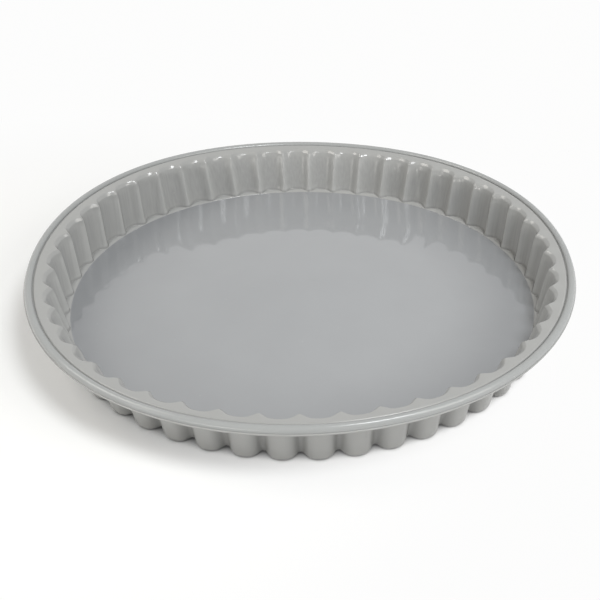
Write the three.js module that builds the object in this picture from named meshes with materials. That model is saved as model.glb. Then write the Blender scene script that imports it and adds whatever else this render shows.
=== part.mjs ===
// A round silicone flan mould: a fluted dish with a flat rim, a steel wire hoop that keeps the rim round,
// and a bead moulded over the hoop. Millimetres, +Z up, origin at the centre of the underside.
import * as THREE from 'three';

// Dish
const fluteCount = 48;
const flangeTop = 31;          // top of the rim at the groove, above the table
const floorThickness = 1.6;
const floorRadius = 129.6;     // crisp round edge of the flat floor
const floorStep = 0.4;         // small riser round the floor
const ledgeWidth = 0.2;        // from the riser to the feet of the ridges
const ledgeSlope = 0.25;       // rise of the ledge towards the foot of each flute
const wallThickness = 1.7;
const wallLean = 5.4;          // a ridge stands this much further out at the rim than at its foot
const fluteDepthTop = 3.4;     // from the ridges out to the middle of a flute, at the rim
const fluteDepthFoot = 3.8;    // the same at the floor
// Section of the flutes: flat crest of a ridge (inside) or bed of a valley (outside) and its rounding, as shares
// of half a flute, and squareness: 2 is close to an arc of a circle, more is flatter with steeper sides
const innerSection = { flat: 0.1, soft: 0.15, square: 3 };
const outerSection = { flat: 0.13, soft: 0.05, square: 4 };
const mouthRound = 1.8;        // rounded inner edge of the rim
const footRound = 3.8;         // rounded outer edge of the underside

// Rim
const flangeWidth = 6.15;      // from the middle of a flute to the groove
const flangeThickness = 2.8;   // at the groove
const flangeDip = 0.8;         // fall of the flange's top from the groove to the mouth
const lipReach = 0.5;          // thin lip under the bead, beyond it
const edgeBreak = 0.4;         // small chamfer on the lip and on the flange at the groove
const beadWidth = 3.95;
const beadRise = 1.2;          // top of the bead above the flange
const beadOuterRound = 1.5;
const beadInnerRound = 1.2;
const grooveWidth = 0.3;       // fine groove between flange and bead
const seatDrop = 0.6;          // seat of the bead and the hoop below the flange's top
const wireDiameter = 1.8;
const wireClearance = 0.3;     // round the wire in its channel

// Facets
const sidesPerFlute = 8;
const crowding = 1.3;          // 1 spaces the sides of a flute evenly, more crowds them at the ridges
const plainSides = 96;
const wireSides = 8;
const roundSteps = 3;
const channelSteps = 4;

// Sizes that follow from those above
const fullTurn = 2 * Math.PI;
const footLevel = floorThickness + floorStep;
const ridgeFoot = floorRadius + ledgeWidth;
const mouthLevel = flangeTop - flangeDip;
const flangeBottom = flangeTop - flangeThickness;
const seatHeight = flangeTop - seatDrop;
const beadTop = flangeTop + beadRise;
const flangeEdge = ridgeFoot + wallLean + fluteDepthTop + flangeWidth;
const beadInner = flangeEdge + grooveWidth;
const beadOuter = beadInner + beadWidth;
const rimRadius = beadOuter + lipReach;
const hoopRadius = (beadInner + beadOuter) / 2;
const channelRadius = wireDiameter / 2 + wireClearance;

const silicone = { color: 0xa3a4a3, roughness: 0.42, metalness: 0 };
const springSteel = { color: 0xb9bbbd, roughness: 0.3, metalness: 1 };

// Share of the flute's depth at an angle: 0 along the flat of a ridge or valley, then rising steeply and
// flattening out to 1 in the middle of the flute.
function fluteShare(angle, { flat, soft, square }) {
  const turns = (angle / fullTurn) * fluteCount;
  const fromRidge = 2 * Math.abs(turns - Math.round(turns));
  const ramp = (share) => (Math.hypot(share - flat, soft) + share - flat) / 2;
  const across = (ramp(fromRidge) - ramp(0)) / (ramp(1) - ramp(0));
  return 1 - (1 - across) ** square;
}

// Angle of a point on a fluted ring: the points crowd towards the ridges, where the section turns most
function flutedAngle(i) {
  const turns = i / sidesPerFlute;
  const ridge = Math.round(turns);
  const fromRidge = (2 * Math.abs(turns - ridge)) ** crowding;
  return ((ridge + (Math.sign(turns - ridge) * fromRidge) / 2) / fluteCount) * fullTurn;
}

// Radius of the ridge line and depth of the flutes at a height on the wall
function wallAt(height) {
  const climb = (height - footLevel) / (flangeTop - footLevel);
  return {
    ridge: ridgeFoot + wallLean * climb,
    depth: THREE.MathUtils.lerp(fluteDepthFoot, fluteDepthTop, climb),
  };
}

function innerWall(angle, height) {
  const { ridge, depth } = wallAt(height);
  return ridge + depth * fluteShare(angle, innerSection);
}

function outerWall(angle, height) {
  const { ridge, depth } = wallAt(height);
  return ridge + wallThickness + depth * fluteShare(angle, outerSection);
}

// Rings of a loft: how many points each has, their angles, and the radius and height of a point by its angle
const plainAngle = (i) => (i / plainSides) * fullTurn;
const pole = (height) => ({ count: 1, angleOf: plainAngle, at: () => [0, height] });
const plainRing = (radius, height) => ({ count: plainSides, angleOf: plainAngle, at: () => [radius, height] });
const flutedRing = (at) => ({ count: fluteCount * sidesPerFlute, angleOf: flutedAngle, at });

// Triangles between two neighbouring rings, taking the next point on whichever ring is behind
function stitch(lower, upper) {
  const faces = [];
  const lowerSteps = lower.count > 1 ? lower.count : 0;
  const upperSteps = upper.count > 1 ? upper.count : 0;
  let i = 0;
  let j = 0;
  while (i < lowerSteps || j < upperSteps) {
    const low = lower.start + (i % lower.count);
    const up = upper.start + (j % upper.count);
    const lowerIsBehind = (i + 1) * upperSteps <= (j + 1) * lowerSteps;
    if (i < lowerSteps && (j === upperSteps || lowerIsBehind)) {
      i += 1;
      faces.push(low, lower.start + (i % lower.count), up);
    } else {
      j += 1;
      faces.push(low, upper.start + (j % upper.count), up);
    }
  }
  return faces;
}

// A closed skin over rings that start and end at a pole, going up the outside and down the inside
function loft(rings) {
  const positions = [];
  const placed = [];
  for (const { count, angleOf, at } of rings) {
    placed.push({ start: positions.length / 3, count });
    for (let i = 0; i < count; i += 1) {
      const angle = angleOf(i);
      const [radius, height] = at(angle);
      positions.push(radius * Math.cos(angle), radius * Math.sin(angle), height);
    }
  }
  const faces = [];
  for (let k = 0; k + 1 < placed.length; k += 1) {
    faces.push(...stitch(placed[k], placed[k + 1]));
  }
  const geometry = new THREE.BufferGeometry();
  geometry.setAttribute('position', new THREE.Float32BufferAttribute(positions, 3));
  geometry.setIndex(faces);
  geometry.computeVertexNormals();
  return geometry;
}

// Angles of a quarter round, from its first end to its second
function quarterSteps() {
  return Array.from({ length: roundSteps + 1 }, (_, k) => ((k / roundSteps) * Math.PI) / 2);
}

// Half-round channel for the wire, cut into the seat (side -1) or into the bead (side 1), outside to inside
function channelPoints(side) {
  const points = [];
  for (let k = 0; k <= channelSteps; k += 1) {
    const angle = (k / channelSteps) * Math.PI;
    const radius = hoopRadius + channelRadius * Math.cos(angle);
    points.push(new THREE.Vector2(radius, seatHeight + side * channelRadius * Math.sin(angle)));
  }
  return points;
}

// The dish in one moulding: underside, lobes, flange with its lip and hoop seat, mouth, flutes, ledge, floor
function mouldBody() {
  const foot = quarterSteps().map((turn) => flutedRing((angle) => [
    outerWall(angle, footRound) - footRound * (1 - Math.sin(turn)),
    footRound * (1 - Math.cos(turn)),
  ]));
  const underFlange = flutedRing((angle) => [outerWall(angle, flangeBottom), flangeBottom]);
  const lip = [
    [rimRadius - edgeBreak, flangeBottom],
    [rimRadius, flangeBottom + edgeBreak],
    [rimRadius, seatHeight - edgeBreak],
    [rimRadius - edgeBreak, seatHeight],
  ];
  const channel = channelPoints(-1).map((point) => point.toArray());
  const groove = [
    [flangeEdge, seatHeight],
    [flangeEdge, flangeTop - edgeBreak],
    [flangeEdge - edgeBreak, flangeTop],
  ];
  const mouth = quarterSteps().map((turn) => flutedRing((angle) => [
    innerWall(angle, mouthLevel) + mouthRound * (1 - Math.sin(turn)),
    mouthLevel - mouthRound * (1 - Math.cos(turn)),
  ]));
  const fluteFoot = flutedRing((angle) => {
    const radius = innerWall(angle, footLevel);
    return [radius, footLevel + ledgeSlope * (radius - floorRadius)];
  });
  return loft([
    pole(0),
    ...foot,
    underFlange,
    ...[...lip, ...channel, ...groove].map(([radius, height]) => plainRing(radius, height)),
    ...mouth,
    fluteFoot,
    plainRing(floorRadius, footLevel),
    plainRing(floorRadius, floorThickness),
    pole(floorThickness),
  ]);
}

// The bead is one profile turned round the axis: rounded top corners and the wire's channel underneath
function rimBead() {
  const outline = new THREE.Path();
  outline.moveTo(beadOuter, seatHeight);
  outline.lineTo(beadOuter, beadTop - beadOuterRound);
  outline.absarc(beadOuter - beadOuterRound, beadTop - beadOuterRound, beadOuterRound, 0, Math.PI / 2);
  outline.absarc(beadInner + beadInnerRound, beadTop - beadInnerRound, beadInnerRound, Math.PI / 2, Math.PI);
  outline.lineTo(beadInner, seatHeight);
  const profile = [...outline.getPoints(roundSteps / 2), ...channelPoints(1).reverse()];
  profile.push(profile[0].clone());
  return new THREE.LatheGeometry(profile, plainSides).rotateX(Math.PI / 2);
}

// The hoop lies in its channel, half in the seat and half in the bead
function rimHoop() {
  const wire = new THREE.TorusGeometry(hoopRadius, wireDiameter / 2, wireSides, plainSides);
  return wire.translate(0, 0, seatHeight);
}

function piece(name, geometry, finish) {
  const mesh = new THREE.Mesh(geometry, new THREE.MeshStandardMaterial(finish));
  mesh.name = name;
  return mesh;
}

const flanMould = new THREE.Group();
flanMould.add(
  piece('mould_body', mouldBody(), silicone),
  piece('rim_hoop', rimHoop(), springSteel),
  piece('rim_bead', rimBead(), silicone),
);

export default flanMould;
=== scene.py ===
import bpy
import numpy as np
from mathutils import Matrix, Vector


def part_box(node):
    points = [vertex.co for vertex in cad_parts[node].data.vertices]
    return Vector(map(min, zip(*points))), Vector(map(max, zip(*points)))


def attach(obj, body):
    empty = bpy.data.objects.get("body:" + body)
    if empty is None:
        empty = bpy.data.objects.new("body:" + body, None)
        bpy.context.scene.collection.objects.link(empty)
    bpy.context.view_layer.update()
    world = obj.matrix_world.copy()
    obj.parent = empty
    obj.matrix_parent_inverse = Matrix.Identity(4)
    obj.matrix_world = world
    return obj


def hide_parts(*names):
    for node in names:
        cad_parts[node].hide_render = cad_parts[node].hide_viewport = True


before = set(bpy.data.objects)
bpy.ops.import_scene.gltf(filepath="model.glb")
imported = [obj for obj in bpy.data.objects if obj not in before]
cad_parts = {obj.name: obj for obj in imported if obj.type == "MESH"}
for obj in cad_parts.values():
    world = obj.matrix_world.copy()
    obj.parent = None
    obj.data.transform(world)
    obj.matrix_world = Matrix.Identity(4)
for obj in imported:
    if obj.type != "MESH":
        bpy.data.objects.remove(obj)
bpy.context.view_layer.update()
mm = 0.001
fullTurn = 2 * np.pi
halfTurn = np.pi
quarterTurn = np.pi / 2


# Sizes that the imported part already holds, read off its boxes
def nodeReach(node):
    low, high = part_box(node)
    return high.x / mm, low.z / mm, high.z / mm


rimRadius, tableLevel, flangeTop = nodeReach("mould_body")
beadOuter, seatLevel, beadTop = nodeReach("rim_bead")
hoopReach, hoopLow, hoopHigh = nodeReach("rim_hoop")
wireRadius = (hoopHigh - hoopLow) / 2
hoopRadius = hoopReach - wireRadius
beadInner = 2 * hoopRadius - beadOuter      # the wire runs down the middle of the bead
print("frame: rim", round(rimRadius, 2), "flange", round(flangeTop, 2), "wire", round(wireRadius, 2))

# Sizes that no box shows and that several pieces share
floorRadius = 129.6
wireClearance = 0.3
channelRadius = wireRadius + wireClearance


# Number helpers
def column(values):
    # values down a column, ready to spread over the rings
    return np.array(values)[:, None]


def steps(first, last, count):
    return column(np.linspace(first, last, count))


def ringAngles(count):
    return np.arange(count)[None, :] / count * fullTurn


def between(start, end, share):
    return start + (end - start) * share


# Softness
# A limp dish never lies quite true: its rim rises and falls, and rim and floor are a little out of round.
soft = {
    # waves round the dish: how many, how much, and the angle of one crest
    "rimLift": ((2, 1.44, -7.3), (3, 1.37, 31.0)),
    "rimSpread": ((2, 0.51, 92.2), (3, 1.03, -24.7)),
    "floorSpread": ((2, 2.09, -5.0), (3, 1.44, 28.5)),
    "sag": 0.37,                # the whole rim hangs this much
    "liftPower": 1.5,           # how fast the lift fades towards the table
    "climbLimit": 1.05,         # lets the bead, above the flange, go along in full
}


def waves(kind, angle):
    return sum(amount * np.cos(count * (angle - np.radians(crest))) for count, amount, crest in soft[kind])


def softened(radius, height, angle):
    # radius + spread * min(1, radius / floor), height + (lift - sag) * climb ** power, with climb 0 at the
    # table and 1 at the rim; the spread goes evenly from the floor's waves to the rim's
    climb = np.clip(height / flangeTop, 0, soft["climbLimit"])
    spread = between(waves("floorSpread", angle), waves("rimSpread", angle), climb)
    lift = (waves("rimLift", angle) - soft["sag"]) * climb ** soft["liftPower"]
    return radius + spread * np.minimum(1, radius / floorRadius), height + lift


# Meshes
def ringFaces(rows, columns, closed):
    # four corners of each face between neighbouring rings; closed also joins the last ring to the first
    lower = np.arange(rows if closed else rows - 1)[:, None]
    upper = (lower + 1) % rows
    left = np.arange(columns)[None, :]
    right = (left + 1) % columns
    corners = (lower, left), (lower, right), (upper, right), (upper, left)
    return np.stack([ring * columns + place for ring, place in corners], 2).reshape(-1, 4)


def poleFaces(rows, columns):
    # three corners of each face round the two points on the axis, which come after the grid's points
    left = np.arange(columns)
    right = (left + 1) % columns
    start, end = rows * columns, rows * columns + 1
    lastRing = (rows - 1) * columns
    startFan = np.stack([np.full(columns, start), right, left], 1)
    endFan = np.stack([lastRing + left, lastRing + right, np.full(columns, end)], 1)
    return np.concatenate([startFan, endFan])


def skinMesh(name, radius, height, angle, ends, marks):
    # A grid of rings round the axis: point = (radius cos angle, radius sin angle, height), softened.
    # ends "poles" closes the first and last ring with a point on the axis, "loop" joins the two.
    rows, columns = radius.shape
    radius, height = softened(radius, height, angle)
    grid = np.stack([radius * np.cos(angle), radius * np.sin(angle), height], 2)
    points = grid.reshape(-1, 3)
    faces = [ringFaces(rows, columns, ends == "loop")]
    marks = {key: np.broadcast_to(value, radius.shape).reshape(-1) for key, value in marks.items()}
    if ends == "poles":
        points = np.concatenate([points, [[0, 0, grid[row, :, 2].mean()] for row in (0, -1)]])
        faces.append(poleFaces(rows, columns))
        marks = {key: np.append(value, value[[0, -1]]) for key, value in marks.items()}
    loops = np.concatenate([part.reshape(-1) for part in faces])
    counts = np.concatenate([np.full(len(part), part.shape[1]) for part in faces])
    starts = np.cumsum(counts) - counts
    mesh = bpy.data.meshes.new(name)
    mesh.vertices.add(len(points))
    mesh.vertices.foreach_set("co", (points * mm).astype(np.float32).reshape(-1))
    mesh.loops.add(loops.size)
    mesh.loops.foreach_set("vertex_index", loops.astype(np.int32))
    mesh.polygons.add(counts.size)
    mesh.polygons.foreach_set("loop_start", starts.astype(np.int32))
    mesh.polygons.foreach_set("use_smooth", np.ones(counts.size, bool))
    mesh.update(calc_edges=True)
    mesh.validate()
    for key, value in marks.items():
        mesh.attributes.new(key, "FLOAT", "POINT").data.foreach_set("value", value.astype(np.float32))
    piece = bpy.data.objects.new(name, mesh)
    bpy.context.scene.collection.objects.link(piece)
    print("mesh:", name, len(points), "points", counts.size, "faces")
    return piece


# Dish
dish = {
    "flutes": 48,
    "floorThickness": 1.6, "floorStep": 0.35,
    "padReach": 0.3, "padSlope": 0.1, "padCrown": 0.6,      # half moon pads at the feet of the flutes
    "wallThickness": 1.7, "wallLean": 5.4,
    "fluteDepthTop": 3.4, "fluteDepthFoot": 3.8,
    # outside, at the table: depth of the lobes, their reach past the flutes, height of the valleys' feet
    "lobeDepthFoot": 4.8, "lobeReachFoot": 2.7, "valleyLift": 1.2,
    "heel": 0.97,               # share of the foot's radius where the underside starts to rise to the valleys
    # sections of the flutes, in shares of half a flute: flat of a ridge or valley, its rounding, squareness
    "innerSection": (0.10, 0.15, 3.0), "outerSection": (0.13, 0.05, 3.0),
    "ridgeFlare": 0.14, "flareHeight": 5.0,                 # the ridges broaden towards their feet
    "flangeDip": 0.8, "flangeThickness": 2.8,
    "mouthRound": 1.8, "mouthPower": 1.8,                   # power 1 is a quarter of a circle, 2 a bevel
    "footRound": 2.8, "underRound": 1.2, "creaseRound": 0.3, "stepRound": 0.14, "edgeFillet": 0.08,
    "lipRound": 0.35, "lipEdge": 0.3, "lipTaper": 0.1, "lipDrop": 1.1,
    "grooveGap": 0.45, "grooveRound": 0.9,
    # the floor falls from its middle to a trough and rises to its edge: slopes, radius, roundings of both
    "floorFall": 0.098, "floorRise": 0.035, "troughRadius": 95, "troughRound": 10, "middleRound": 22,
    "floorWaves": ((0.05, 105, 20), (0.035, 72, 115), (0.02, 46, 68)),   # height, length, heading
    "waveFade": 6,              # power by which the waves die away at the floor's edge
    # points round a flute and how much they crowd at the ridges, then rows round each bend
    "columnsPerFlute": 16, "crowding": 0.6,
    "fineBend": 9, "plainBend": 6, "smallBend": 4, "stepBend": 3,
    # rows across each face, as shares of its width; lobeRows is a count, and the last two are from, to, count
    "underRows": (0.1, 0.25, 0.4, 0.55, 0.7, 0.85), "lobeRows": 7, "flangeUnderRows": (0.35, 0.7, 0.95),
    "flangeRows": (0.15, 0.35, 0.55, 0.75, 0.9), "wallRows": (0.15, 0.35, 0.55, 0.72, 0.82, 0.89, 0.95),
    "padRows": (0.12, 0.3, 0.5, 0.7, 0.9),
    "floorEdgeRows": (0.9992, 0.996, 0.985), "troughRows": (0.965, 0.605, 13), "middleRows": (0.55, 0.06, 8),
    # painted shade and highlight, as a scale of the colour: darker where the light of the room is shut out,
    # lighter on the crests of the ridges where they catch the light
    "shade": {"foot": 0.15, "valley": 0.74, "groove": 0.78, "ridge": 1.2, "flute": 0.96, "crease": 0.8,
              "floorEdge": 0.82},
    # where the painted highlight and shade lie: the ridges' light strip, the feet of the lobes and the
    # floor's edge
    "crestSection": (0.16, 0.06, 4.0),      # light strip along a ridge, given as the sections above
    "lobeLight": 1.3, "bendLight": 1.6,     # how soon a foot is light, across its lobe and up its bend
    "shadeFrom": 75,                        # radius from which the floor darkens to its edge
    # from 0, satin, to 1, the mirror of the floor
    "polish": {"lip": 0.1, "flange": 0.2, "mouth": 0.45, "wall": 0.3, "crease": 0.15, "pad": 0.3, "step": 0.5,
               "floorEdge": 0.7, "floor": 1},
}
footLevel = dish["floorThickness"] + dish["floorStep"]
mouthLevel = flangeTop - dish["flangeDip"]
flangeBottom = flangeTop - dish["flangeThickness"]
flangeEdge = beadInner - dish["grooveGap"]
lipTop = seatLevel - dish["lipDrop"]


def fluteShare(angle, flat, rounding, square):
    # 0 along the flat of a ridge or valley and 1 in the middle of a flute: 1 - (1 - ramp) ** square, with the
    # ramp starting softly at the end of the flat
    across = angle / fullTurn * dish["flutes"]
    fromRidge = 2 * np.abs(across - np.round(across))

    def ramp(share):
        return (np.hypot(share - flat, rounding) + share - flat) / 2

    return 1 - (1 - (ramp(fromRidge) - ramp(0)) / (ramp(1) - ramp(0))) ** square


def wallRadius(angle, height, section, depthFoot, reachFoot, reachTop):
    # middle line of the flutes + reach - depth * (1 - share of the flute), changing evenly from floor to rim
    climb = (height - footLevel) / (flangeTop - footLevel)
    ridge = floorRadius + dish["padReach"] + dish["wallLean"] * climb
    middle = ridge + between(dish["fluteDepthFoot"], dish["fluteDepthTop"], climb)
    depth = between(depthFoot, dish["fluteDepthTop"], climb)
    return middle + between(reachFoot, reachTop, climb) - depth * (1 - fluteShare(angle, *section))


def innerWall(angle, height):
    flat, rounding, square = dish["innerSection"]
    above = np.clip((height - dish["floorThickness"]) / dish["flareHeight"], 0, 1)
    section = flat + dish["ridgeFlare"] * (1 - above) ** 2, rounding, square
    return wallRadius(angle, height, section, dish["fluteDepthFoot"], 0, 0)


def outerWall(angle, height):
    return wallRadius(angle, height, dish["outerSection"], dish["lobeDepthFoot"], dish["lobeReachFoot"],
                      dish["wallThickness"])


def floorWave(radius, angle):
    # the thin floor is a flat cone with a trough round it, level with the moulded floor at its edge:
    # ((fall + rise) hypot(p, round) - (fall - rise) p) / 2 with p = hypot(r, middle) - trough,
    # and slow plane waves over all
    fall, rise = dish["floorFall"], dish["floorRise"]

    def cone(reach):
        past = np.hypot(reach, dish["middleRound"]) - dish["troughRadius"]
        return ((fall + rise) * np.hypot(past, dish["troughRound"]) - (fall - rise) * past) / 2

    wave = 0
    for crest, length, heading in dish["floorWaves"]:
        along = radius * np.cos(angle - np.radians(heading))
        wave = wave + crest * np.sin(fullTurn * along / length)
    return cone(radius) - cone(floorRadius) + wave * (1 - (radius / floorRadius) ** dish["waveFade"])


def valleyShade(angle):
    # painted shade of the outside valleys: full in a valley, none on a lobe
    return between(dish["shade"]["valley"], 1, fluteShare(angle, *dish["outerSection"]))


def band(angle, radius, height, polish=0, shade=1, streak=0):
    # rows of one face with the marks that its finish reads, for every column; shade carries the painted shade
    # and highlight, streak is 1 on walls that get the painted streaks
    shape = np.broadcast_shapes(np.shape(radius), np.shape(height), angle.shape)
    return [np.broadcast_to(part, shape) for part in (radius, height, polish, shade, streak)]


def undersideBands(angle):
    # underside, bent as the floor is, and the rounded feet of the lobes; the valleys stand off the table
    footRound, footShade = dish["footRound"], dish["shade"]["foot"]
    foot = outerWall(angle, footRound) - footRound
    lobe = fluteShare(angle, *dish["outerSection"])
    lift = dish["valleyLift"] * (1 - lobe)
    under = foot * column(dish["underRows"])
    bend = steps(0, quarterTurn, dish["fineBend"])
    light = np.clip(dish["lobeLight"] * lobe + dish["bendLight"] * bend / quarterTurn, 0, 1)
    return [
        band(angle, under, tableLevel + np.maximum(0, floorWave(under, angle))),
        band(angle, foot * dish["heel"], lift / 2, shade=footShade),
        # painted shade: dark at the feet, most under the valleys, giving way across each lobe and up the bend
        band(angle, foot + footRound * np.sin(bend), footRound - (footRound - lift) * np.cos(bend),
             shade=between(footShade, valleyShade(angle), light)),
    ]


def lobeBands(angle):
    # lobes and their fillet under the flange, with painted shade in the valleys between the lobes
    underRound, shade = dish["underRound"], valleyShade(angle)
    climb = steps(dish["footRound"], flangeBottom - underRound, dish["lobeRows"])[1:-1]
    lobeTop = outerWall(angle, flangeBottom - underRound)
    bend = steps(0, quarterTurn, dish["plainBend"])
    return [
        band(angle, outerWall(angle, climb), climb, shade=shade),
        band(angle, lobeTop + underRound * (1 - np.cos(bend)), flangeBottom - underRound * (1 - np.sin(bend)),
             shade=shade),
    ]


def rimBands(angle):
    # flange from below, lip with a rounded lower and a crisp upper edge, seat of the bead with the wire's
    # channel, foot of the groove
    lipRound, lipEdge, polish = dish["lipRound"], dish["lipEdge"], dish["polish"]["lip"]
    fillet = outerWall(angle, flangeBottom - dish["underRound"]) + dish["underRound"]
    lipStart = rimRadius - dish["lipTaper"] - lipRound
    bend = steps(0, quarterTurn, dish["smallBend"])
    arch = steps(0, halfTurn, dish["fineBend"])
    return [
        band(angle, between(fillet, lipStart, column(dish["flangeUnderRows"])), flangeBottom),
        band(angle, lipStart + lipRound * np.sin(bend), flangeBottom + lipRound * (1 - np.cos(bend)), polish),
        band(angle, rimRadius - lipEdge * (1 - np.cos(bend)), lipTop - lipEdge * (1 - np.sin(bend)), polish),
        band(angle, hoopRadius + channelRadius, lipTop),
        band(angle, hoopRadius + channelRadius * np.cos(arch), seatLevel - channelRadius * np.sin(arch)),
        # painted shade at the foot of the groove
        band(angle, flangeEdge, seatLevel, shade=dish["shade"]["groove"]),
    ]


def flangeBands(angle):
    # rounded edge beside the groove, gently falling top and the rounded mouth
    grooveRound, mouthRound, power = dish["grooveRound"], dish["mouthRound"], dish["mouthPower"]
    polish = dish["polish"]
    mouth = innerWall(angle, mouthLevel)
    edge = steps(0, quarterTurn, dish["plainBend"])
    share = column(dish["flangeRows"])
    bend = steps(0, quarterTurn, dish["fineBend"])
    return [
        band(angle, flangeEdge - grooveRound * (1 - np.cos(edge)),
             flangeTop - grooveRound * (1 - np.sin(edge)), polish["flange"]),
        band(angle, between(flangeEdge - grooveRound, mouth + mouthRound, share),
             flangeTop - dish["flangeDip"] * share, polish["flange"]),
        band(angle, mouth + mouthRound * (1 - np.sin(bend) ** power),
             mouthLevel - mouthRound * (1 - np.cos(bend) ** power), polish["mouth"]),
    ]


def wallBands(angle):
    # flutes, the crease at their feet, the crowned half moon pads and the small step down to the floor;
    # painted highlight on the ridge crests, painted shade in the flutes and the crease
    crease, stepRound = dish["creaseRound"], dish["stepRound"]
    polish, shade = dish["polish"], dish["shade"]
    wallFoot = innerWall(angle, footLevel)
    padDepth = wallFoot - floorRadius
    padEnd = floorRadius + stepRound
    creaseLevel = footLevel + dish["padSlope"] * padDepth
    fall = between(mouthLevel - dish["mouthRound"], creaseLevel + crease, column(dish["wallRows"]))
    crestHighlight = between(shade["ridge"], shade["flute"], fluteShare(angle, *dish["crestSection"]))
    bend = steps(0, quarterTurn, dish["smallBend"])
    share = column(dish["padRows"])
    crown = dish["padCrown"] * padDepth / padDepth.max() * 4 * share * (1 - share)
    edge = steps(0, quarterTurn, dish["stepBend"])
    return [
        band(angle, innerWall(angle, fall), fall, polish["wall"], crestHighlight, 1),
        band(angle, wallFoot - crease * (1 - np.cos(bend)), creaseLevel + crease * (1 - np.sin(bend)),
             polish["crease"], shade["crease"]),
        band(angle, between(wallFoot - crease, padEnd, share), between(creaseLevel, footLevel, share) + crown,
             polish["pad"]),
        band(angle, padEnd - stepRound * np.sin(edge), footLevel - stepRound * (1 - np.cos(edge)),
             polish["step"]),
        band(angle, floorRadius, dish["floorThickness"] + dish["edgeFillet"], polish["floorEdge"]),
    ]


def floorBands(angle):
    rows = [dish["floorEdgeRows"], np.linspace(*dish["troughRows"]), np.linspace(*dish["middleRows"])]
    radius = floorRadius * column(np.concatenate(rows))
    # painted shade: the floor darkens from shadeFrom towards its edge
    outer = np.clip((radius - dish["shadeFrom"]) / (floorRadius - dish["shadeFrom"]), 0, 1)
    return [band(angle, radius, dish["floorThickness"] + floorWave(radius, angle), dish["polish"]["floor"],
                 between(1, dish["shade"]["floorEdge"], outer))]


def makeDish():
    # Columns crowd at the ridges. Rows go from the underside up the lobes, over the rim and down the flutes.
    even = np.arange(dish["flutes"] * dish["columnsPerFlute"])[None, :] / dish["columnsPerFlute"]
    angle = (even - dish["crowding"] * np.sin(fullTurn * even) / fullTurn) / dish["flutes"] * fullTurn
    bands = []
    for face in (undersideBands, lobeBands, rimBands, flangeBands, wallBands, floorBands):
        bands.extend(face(angle))
    radius, height, polish, shade, streak = [np.concatenate(parts) for parts in zip(*bands)]
    marks = {"polish": polish, "shade": shade, "streak": streak}
    return skinMesh("dish", radius, height, angle, "poles", marks)


# Rim bead
bead = {
    "fullness": 0.95,           # 1 is an ellipse, less is fuller
    "spill": 0.1,               # reach of the bead's outer side over the lip
    "seatGap": 0.02,
    "topRows": 33, "archRows": 13, "columns": 384,
    "polish": 0.35,
}


def makeBead():
    # One closed section turned round the axis: a full round top, its outer side drawn down to the lip, and
    # the channel over the wire. Top: radius = middle + half * cos ** fullness,
    # height = side + (beadTop - side) * sin ** fullness
    angle = ringAngles(bead["columns"])
    base = seatLevel + bead["seatGap"]
    skirt = base - dish["lipDrop"]
    outer = beadOuter + bead["spill"]
    half, middle = (outer - beadInner) / 2, (outer + beadInner) / 2
    turn = steps(0, halfTurn, bead["topRows"])
    arch = steps(0, halfTurn, bead["archRows"])
    across = np.sign(np.cos(turn)) * np.abs(np.cos(turn)) ** bead["fullness"]
    side = np.where(turn < quarterTurn, skirt, base)
    top = side + (beadTop - side) * np.abs(np.sin(turn)) ** bead["fullness"]
    channel = hoopRadius - channelRadius * np.cos(arch)
    radius = np.concatenate([middle + half * across, channel, channel[-1:]]) + 0 * angle
    height = np.concatenate([top, base + channelRadius * np.sin(arch), [[skirt]]]) + 0 * angle
    marks = {"polish": bead["polish"], "shade": 1, "streak": 0}
    return skinMesh("bead", radius, height, angle, "loop", marks)


# Wire hoop
hoop = {"columns": 384, "sides": 20}


def makeHoop():
    # A ring of round wire: radius = middle + wire * cos, height = seat + wire * sin
    angle = ringAngles(hoop["columns"])
    bend = ringAngles(hoop["sides"]).T + 0 * angle
    radius, height = hoopRadius + wireRadius * np.cos(bend), seatLevel + wireRadius * np.sin(bend)
    return skinMesh("hoop", radius, height, angle, "loop", {})


# Shader helpers
def addNode(tree, kind, **settings):
    node = tree.nodes.new(kind)
    for key, value in settings.items():
        setattr(node, key, value)
    return node


def feed(tree, value, socket):
    # another node's socket is linked, a plain number, vector or colour is written down
    if isinstance(value, bpy.types.NodeSocket):
        tree.links.new(value, socket)
    else:
        socket.default_value = value


def mapped(tree, value, source, target, **settings):
    # value carried from the source range to the target range and held inside it
    node = addNode(tree, "ShaderNodeMapRange", clamp=True, **settings)
    feed(tree, value, node.inputs["Value"])
    for name, end in zip(("From Min", "From Max", "To Min", "To Max"), (*source, *target)):
        feed(tree, end, node.inputs[name])
    return node.outputs["Result"]


def reckoned(tree, operation, *values):
    node = addNode(tree, "ShaderNodeMath", operation=operation)
    for value, socket in zip(values, node.inputs):
        feed(tree, value, socket)
    return node.outputs["Value"]


def mixed(tree, kind, share, first, second):
    # first where the share is 0, second where it is 1; kind is FLOAT or RGBA
    node = addNode(tree, "ShaderNodeMix", data_type=kind)
    for name, value in (("Factor", share), ("A", first), ("B", second)):
        feed(tree, value, node.inputs[name])
    return node.outputs["Result"]


def noise(tree, place, scale, detail):
    node = addNode(tree, "ShaderNodeTexNoise")
    for name, value in (("Vector", place), ("Scale", scale), ("Detail", detail)):
        feed(tree, value, node.inputs[name])
    return node.outputs["Fac"]


def objectPlace(tree):
    return addNode(tree, "ShaderNodeTexCoord").outputs["Object"]


def mark(tree, name):
    return addNode(tree, "ShaderNodeAttribute", attribute_name=name).outputs["Fac"]


def opaque(colour):
    return (*colour, 1)


def newMaterial(name):
    material = bpy.data.materials.new(name)
    material.use_nodes = True
    tree = material.node_tree
    return material, tree, tree.nodes["Principled BSDF"]


# Moulded skin: what every silicone surface shares
skin = {
    "cloudScale": 34, "cloudDetail": 4,
    "peelScale": 900, "peelDetail": 2,
    "streakScale": 800, "streakDetail": 3, "streakDraw": (1, 1, 0.008),     # drawn out upright
    "lintScale": 160, "lintEdge": (0.07, 0.04), "lintRarity": 0.82,         # a speck's fade, empty cells
}


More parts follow.
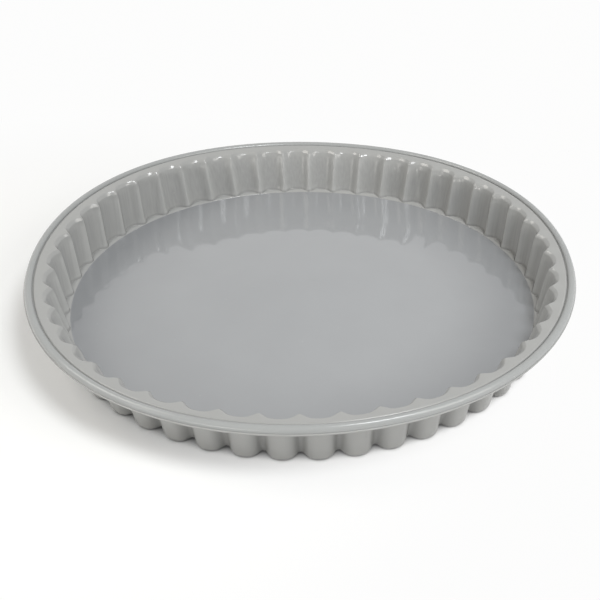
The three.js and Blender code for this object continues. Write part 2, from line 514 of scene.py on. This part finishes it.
def skinGroup():
    # mottle: slow cloudiness of the silicone's colour, peel: fine orange skin, streak: upright light and dark
    # streaks, painted sheen for the fine glossy stripes down the walls, lint: sparse specks that silicone
    # picks up
    group = bpy.data.node_groups.new("mouldedSkin", "ShaderNodeTree")
    group.interface.new_socket(name="Place", in_out="INPUT", socket_type="NodeSocketVector")
    place = addNode(group, "NodeGroupInput").outputs["Place"]
    drawn = addNode(group, "ShaderNodeVectorMath", operation="MULTIPLY")
    feed(group, place, drawn.inputs[0])
    feed(group, skin["streakDraw"], drawn.inputs[1])
    cells = addNode(group, "ShaderNodeTexVoronoi")
    feed(group, place, cells.inputs["Vector"])
    feed(group, skin["lintScale"], cells.inputs["Scale"])
    speck = mapped(group, cells.outputs["Distance"], skin["lintEdge"], (0, 1))
    lot = addNode(group, "ShaderNodeSeparateColor")
    feed(group, cells.outputs["Color"], lot.inputs["Color"])
    chosen = reckoned(group, "GREATER_THAN", lot.outputs["Red"], skin["lintRarity"])
    results = {
        "Mottle": noise(group, place, skin["cloudScale"], skin["cloudDetail"]),
        "Peel": noise(group, place, skin["peelScale"], skin["peelDetail"]),
        "Streak": noise(group, drawn.outputs["Vector"], skin["streakScale"], skin["streakDetail"]),
        "Lint": reckoned(group, "MULTIPLY", speck, chosen),
    }
    for name in results:
        group.interface.new_socket(name=name, in_out="OUTPUT", socket_type="NodeSocketFloat")
    outside = addNode(group, "NodeGroupOutput")
    for name, result in results.items():
        feed(group, result, outside.inputs[name])
    return group


silicone = {
    # the floor's and the bead's cooler colours are a painted tint: the cool light that their gloss reflects,
    # put into the colour
    "satin": (0.360, 0.361, 0.354), "floor": (0.350, 0.358, 0.370), "bead": (0.346, 0.354, 0.352),
    "floorFrom": 0.8,           # polish at which the satin colour starts to give way to the floor's
    # stretch of the noise that is used, and what its ends scale the colour by; the streak range is painted
    # sheen
    "noiseSpan": (0.3, 0.7), "mottle": (0.985, 1.015), "streak": (0.95, 1.06),
    "lint": (0.55, 0.55, 0.54), "lintAmount": 0.25,
    "satinRoughness": 0.27, "floorRoughness": 0.0, "cloudRoughness": 0.004,
    "peelHeight": 0.000012, "refraction": 1.5,
}


def siliconeMaterial(name, skinNodes, satin):
    # satin skin that turns into the polished floor where the polish mark reaches 1
    material, tree, surface = newMaterial(name)
    grain = addNode(tree, "ShaderNodeGroup", node_tree=skinNodes)
    feed(tree, objectPlace(tree), grain.inputs["Place"])
    polish = mark(tree, "polish")
    onFloor = mapped(tree, polish, (silicone["floorFrom"], 1), (0, 1))

    # colour: satin or the floor's cooler painted tint, scaled by the mottle or the painted streaks and by the
    # shade mark's painted shade and highlight, then dusted with lint
    mottle = mapped(tree, grain.outputs["Mottle"], silicone["noiseSpan"], silicone["mottle"])
    streak = mapped(tree, grain.outputs["Streak"], silicone["noiseSpan"], silicone["streak"])
    pattern = mixed(tree, "FLOAT", mark(tree, "streak"), mottle, streak)
    pigmentAndPaintedTint = mixed(tree, "RGBA", onFloor, opaque(satin), opaque(silicone["floor"]))
    shaded = addNode(tree, "ShaderNodeVectorMath", operation="SCALE")
    feed(tree, pigmentAndPaintedTint, shaded.inputs["Vector"])
    feed(tree, reckoned(tree, "MULTIPLY", pattern, mark(tree, "shade")), shaded.inputs["Scale"])
    lint = reckoned(tree, "MULTIPLY", grain.outputs["Lint"], silicone["lintAmount"])
    dusted = mixed(tree, "RGBA", lint, shaded.outputs["Vector"], opaque(silicone["lint"]))
    feed(tree, dusted, surface.inputs["Base Color"])

    # gloss: the polish mark, a little uneven with the mottle
    finish = mapped(tree, polish, (0, 1), (silicone["satinRoughness"], silicone["floorRoughness"]))
    uneven = reckoned(tree, "MULTIPLY_ADD", grain.outputs["Mottle"], silicone["cloudRoughness"], finish)
    feed(tree, uneven, surface.inputs["Roughness"])
    feed(tree, silicone["refraction"], surface.inputs["IOR"])

    # orange skin everywhere but on the floor
    bump = addNode(tree, "ShaderNodeBump")
    feed(tree, silicone["peelHeight"], bump.inputs["Distance"])
    feed(tree, 1, bump.inputs["Strength"])
    offFloor = reckoned(tree, "SUBTRACT", 1, onFloor)
    feed(tree, reckoned(tree, "MULTIPLY", grain.outputs["Peel"], offFloor), bump.inputs["Height"])
    feed(tree, bump.outputs["Normal"], surface.inputs["Normal"])
    return material


wire = {"colour": (0.56, 0.57, 0.58), "roughness": (0.196, 0.364), "drawScale": 2600, "drawDetail": 2}


def wireMaterial():
    # drawn steel: fine streaks that vary the polish
    material, tree, surface = newMaterial("drawnWire")
    streaks = noise(tree, objectPlace(tree), wire["drawScale"], wire["drawDetail"])
    feed(tree, mapped(tree, streaks, (0, 1), wire["roughness"]), surface.inputs["Roughness"])
    feed(tree, opaque(wire["colour"]), surface.inputs["Base Color"])
    feed(tree, 1, surface.inputs["Metallic"])
    return material


# Table and light
studio = {
    "tableHalf": 4.0, "tableColour": (0.93, 0.93, 0.925), "tableRoughness": 0.6,
    # share of the table that the eye sees as plain white: little at the dish's shadow, all far from it
    "plainWhite": (0.98, 0.98, 0.978), "whiteNear": 0.15, "shadowPlace": (-0.15, -0.02, 0),
    "nearRadius": 0.08, "farRadius": 0.285,
    # contact shadow: its reach, how open a corner is where it is full and where it starts, light left in it
    "shadowReach": 0.008, "shadowOpen": (0.15, 0.55), "shadowLight": 0.1, "shadowSamples": 8,
    "roomColour": (1.0, 1.0, 1.0), "room": 0.98, "ambient": 0.25,
}
lamps = {
    # the key is small and bright enough to put glints on the rounded edges
    "key": {"place": (0.45, -0.46, 1.19), "size": (0.5, 0.5), "power": 10.0, "colour": (0.96, 0.985, 1)},
    "right": {"place": (0.96, -0.55, 0.77), "size": (0.7, 0.7), "power": 5.2, "colour": (1, 0.98, 0.93)},
    "leftHigh": {"place": (-0.90, 0.08, 1.00), "size": (0.7, 0.7), "power": 5.7, "colour": (1, 0.965, 0.89)},
    "leftLow": {"place": (-1.08, -0.75, 0.28), "size": (0.4, 0.4), "power": 1.1, "colour": (1, 0.97, 0.91)},
    "frontLow": {"place": (-0.60, -1.20, 0.06), "size": (0.8, 0.08), "power": 2.3, "colour": (1, 0.98, 0.93)},
}


def seenRay(tree):
    # 1 for rays from the eye, from mirrors and through glass, 0 for the light between matt surfaces
    path = addNode(tree, "ShaderNodeLightPath").outputs
    direct = reckoned(tree, "MAXIMUM", path["Is Camera Ray"], path["Is Glossy Ray"])
    return reckoned(tree, "MAXIMUM", direct, path["Is Transmission Ray"])


def tableMaterial():
    # matt white that darkens in closed corners, shown to the eye as plain white where no shadow falls
    material, tree, surface = newMaterial("whiteTable")
    away = addNode(tree, "ShaderNodeVectorMath", operation="DISTANCE")
    feed(tree, objectPlace(tree), away.inputs[0])
    feed(tree, studio["shadowPlace"], away.inputs[1])
    whiteness = mapped(tree, away.outputs["Value"], (studio["nearRadius"], studio["farRadius"]),
                       (studio["whiteNear"], 1), interpolation_type="SMOOTHSTEP")
    nearby = addNode(tree, "ShaderNodeAmbientOcclusion", samples=studio["shadowSamples"])
    feed(tree, studio["shadowReach"], nearby.inputs["Distance"])
    contact = mapped(tree, nearby.outputs["AO"], studio["shadowOpen"], (studio["shadowLight"], 1))
    # painted contact shadow: the table's colour goes to black in closed corners
    ground = mixed(tree, "RGBA", contact, opaque((0, 0, 0)), opaque(studio["tableColour"]))
    feed(tree, ground, surface.inputs["Base Color"])
    feed(tree, studio["tableRoughness"], surface.inputs["Roughness"])
    white = addNode(tree, "ShaderNodeEmission")
    feed(tree, opaque(studio["plainWhite"]), white.inputs["Color"])
    shown = addNode(tree, "ShaderNodeMixShader")
    share = reckoned(tree, "MULTIPLY", seenRay(tree), reckoned(tree, "MULTIPLY", contact, whiteness))
    feed(tree, share, shown.inputs["Fac"])
    feed(tree, surface.outputs["BSDF"], shown.inputs[1])
    feed(tree, white.outputs["Emission"], shown.inputs[2])
    feed(tree, shown.outputs["Shader"], tree.nodes["Material Output"].inputs["Surface"])
    return material


def makeTable():
    half = studio["tableHalf"]
    corners = [(-half, -half, 0), (half, -half, 0), (half, half, 0), (-half, half, 0)]
    mesh = bpy.data.meshes.new("table")
    mesh.from_pydata(corners, [], [(0, 1, 2, 3)])
    mesh.materials.append(tableMaterial())
    table = bpy.data.objects.new("table", mesh)
    bpy.context.scene.collection.objects.link(table)


def makeWorld():
    # the eye and every mirror see a white room, matt surfaces get its soft light
    world = bpy.data.worlds.new("whiteRoom")
    bpy.context.scene.world = world
    world.use_nodes = True
    tree = world.node_tree
    sky = tree.nodes["Background"]
    feed(tree, opaque(studio["roomColour"]), sky.inputs["Color"])
    strength = mapped(tree, seenRay(tree), (0, 1), (studio["ambient"], studio["room"]))
    feed(tree, strength, sky.inputs["Strength"])


def makeLamp(name, place, size, power, colour):
    light = bpy.data.lights.new(name, "AREA")
    light.shape = "ELLIPSE"
    light.size, light.size_y = size
    light.energy = power
    light.color = colour
    lamp = bpy.data.objects.new(name, light)
    lamp.location = place
    toObject = -lamp.location
    lamp.rotation_euler = toObject.to_track_quat("-Z", "Y").to_euler()
    lamp.visible_camera = False
    bpy.context.scene.collection.objects.link(lamp)


# Camera
view = {
    "place": (11.1, -437.8, 294.4), "heading": 3.79, "elevation": 33.91, "roll": 2.00,
    "focalPixels": 910.0, "axisPixel": (375.0, 296.5), "imagePixels": 600, "sensor": 36.0,
}


def makeCamera():
    # looks along +Y turned by heading to the right and tipped down by elevation; the shift puts the lens axis
    # on axisPixel
    lens = bpy.data.cameras.new("camera")
    lens.sensor_width = view["sensor"]
    lens.lens = view["focalPixels"] / view["imagePixels"] * view["sensor"]
    middle = view["imagePixels"] / 2
    lens.shift_x = -(view["axisPixel"][0] - middle) / view["imagePixels"]
    lens.shift_y = (view["axisPixel"][1] - middle) / view["imagePixels"]
    camera = bpy.data.objects.new("camera", lens)
    bpy.context.scene.collection.objects.link(camera)
    turned = Matrix.Rotation(-np.radians(view["heading"]), 4, "Z")
    tipped = Matrix.Rotation(np.radians(90 - view["elevation"]), 4, "X")
    rolled = Matrix.Rotation(np.radians(view["roll"]), 4, "Z")
    camera.matrix_world = Matrix.Translation([mm * x for x in view["place"]]) @ turned @ tipped @ rolled
    bpy.context.scene.camera = camera


makeCamera()
print("stage: camera")

dishPiece, beadPiece, hoopPiece = makeDish(), makeBead(), makeHoop()
skinNodes = skinGroup()
dishPiece.data.materials.append(siliconeMaterial("dishSilicone", skinNodes, silicone["satin"]))
beadPiece.data.materials.append(siliconeMaterial("beadSilicone", skinNodes, silicone["bead"]))
hoopPiece.data.materials.append(wireMaterial())
print("stage: pieces and finishes")

for piece, node, slot in ((dishPiece, "mould_body", "silicone"), (beadPiece, "rim_bead", "silicone"),
                          (hoopPiece, "rim_hoop", "spring_steel")):
    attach(piece, "root")
    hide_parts(node)

makeTable()
makeWorld()
for name, lamp in lamps.items():
    makeLamp(name, **lamp)
bpy.context.scene.view_settings.view_transform = "Standard"
print("stage: table and light")
